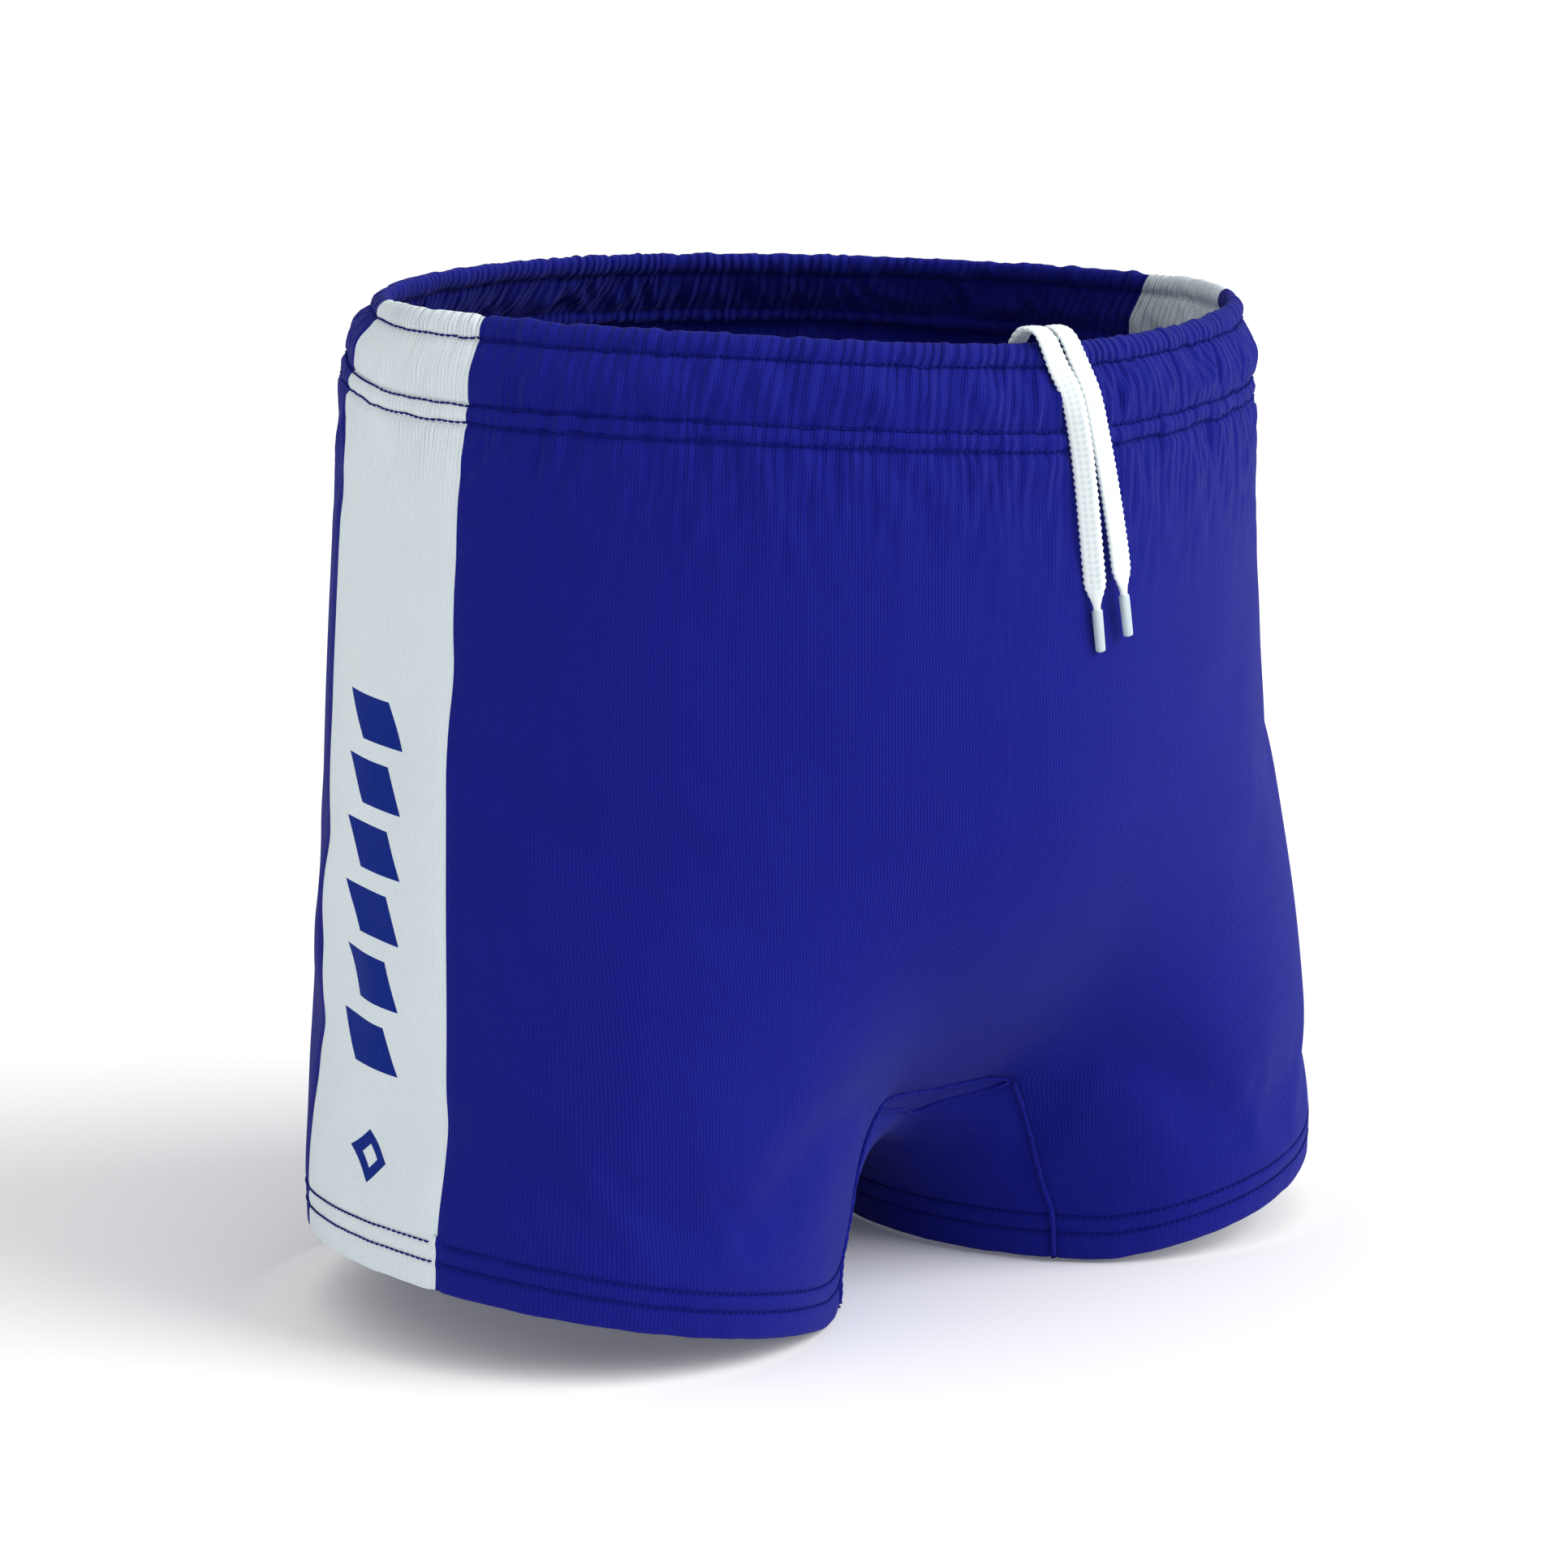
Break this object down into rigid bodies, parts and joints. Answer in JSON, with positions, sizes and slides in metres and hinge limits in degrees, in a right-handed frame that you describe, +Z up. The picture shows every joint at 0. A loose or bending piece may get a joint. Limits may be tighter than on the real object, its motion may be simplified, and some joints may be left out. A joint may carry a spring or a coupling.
{
  "type": "boxing shorts",
  "caption": "Short knitted boxing shorts in blue with a white panel down each side, an elastic waist and a white drawcord hanging at the front.",
  "frame": {"origin": "centre of the bottom of the bounding box, on the surface that the hems stand on", "axes": "+Z up from the hems to the waist, the front faces -Y, the wearer's right is -X"},
  "size_m": [0.3798, 0.2774, 0.3325],
  "materials": {
    "blue_knit": "matte",
    "white_knit": "matte",
    "thread": "satin",
    "braid": "matte",
    "aglet_plastic": "gloss",
    "elastic": "matte"
  },
  "bodies": {
    "root": {"front_panel": "blue_knit", "back_panel": "blue_knit", "crotch_gusset": "blue_knit", "gusset_seam_front": "blue_knit", "gusset_seam_back": "blue_knit", "side_panel_right": "white_knit", "side_seam_front_right": "blue_knit", "side_seam_back_right": "blue_knit", "inseam_right": "blue_knit", "hem_stitch_upper_right": "thread", "hem_stitch_lower_right": "thread", "eyelet_right": "thread", "drawcord_bend_right": "braid", "side_panel_left": "white_knit", "side_seam_front_left": "blue_knit", "side_seam_back_left": "blue_knit", "inseam_left": "blue_knit", "hem_stitch_upper_left": "thread", "hem_stitch_lower_left": "thread", "eyelet_left": "thread", "drawcord_bend_left": "braid", "waist_elastic": "elastic", "drawcord_in_casing": "braid", "waist_stitch_row_1": "thread", "waist_stitch_row_2": "thread", "waist_stitch_row_3": "thread"},
    "cord_right": {"drawcord_end_right": "braid", "aglet_right": "aglet_plastic"},
    "cord_left": {"drawcord_end_left": "braid", "aglet_left": "aglet_plastic"}
  },
  "joints": [
    {"name": "lift_cord_right", "type": "hinge", "parent": "root", "child": "cord_right", "pos_m": [-0.0022, -0.1248, 0.3115], "axis": [-1, 0, 0], "range_deg": [0, 100]},
    {"name": "lift_cord_left", "type": "hinge", "parent": "root", "child": "cord_left", "pos_m": [0.0065, -0.1248, 0.3117], "axis": [-1, 0, 0], "range_deg": [0, 100]}
  ]
}
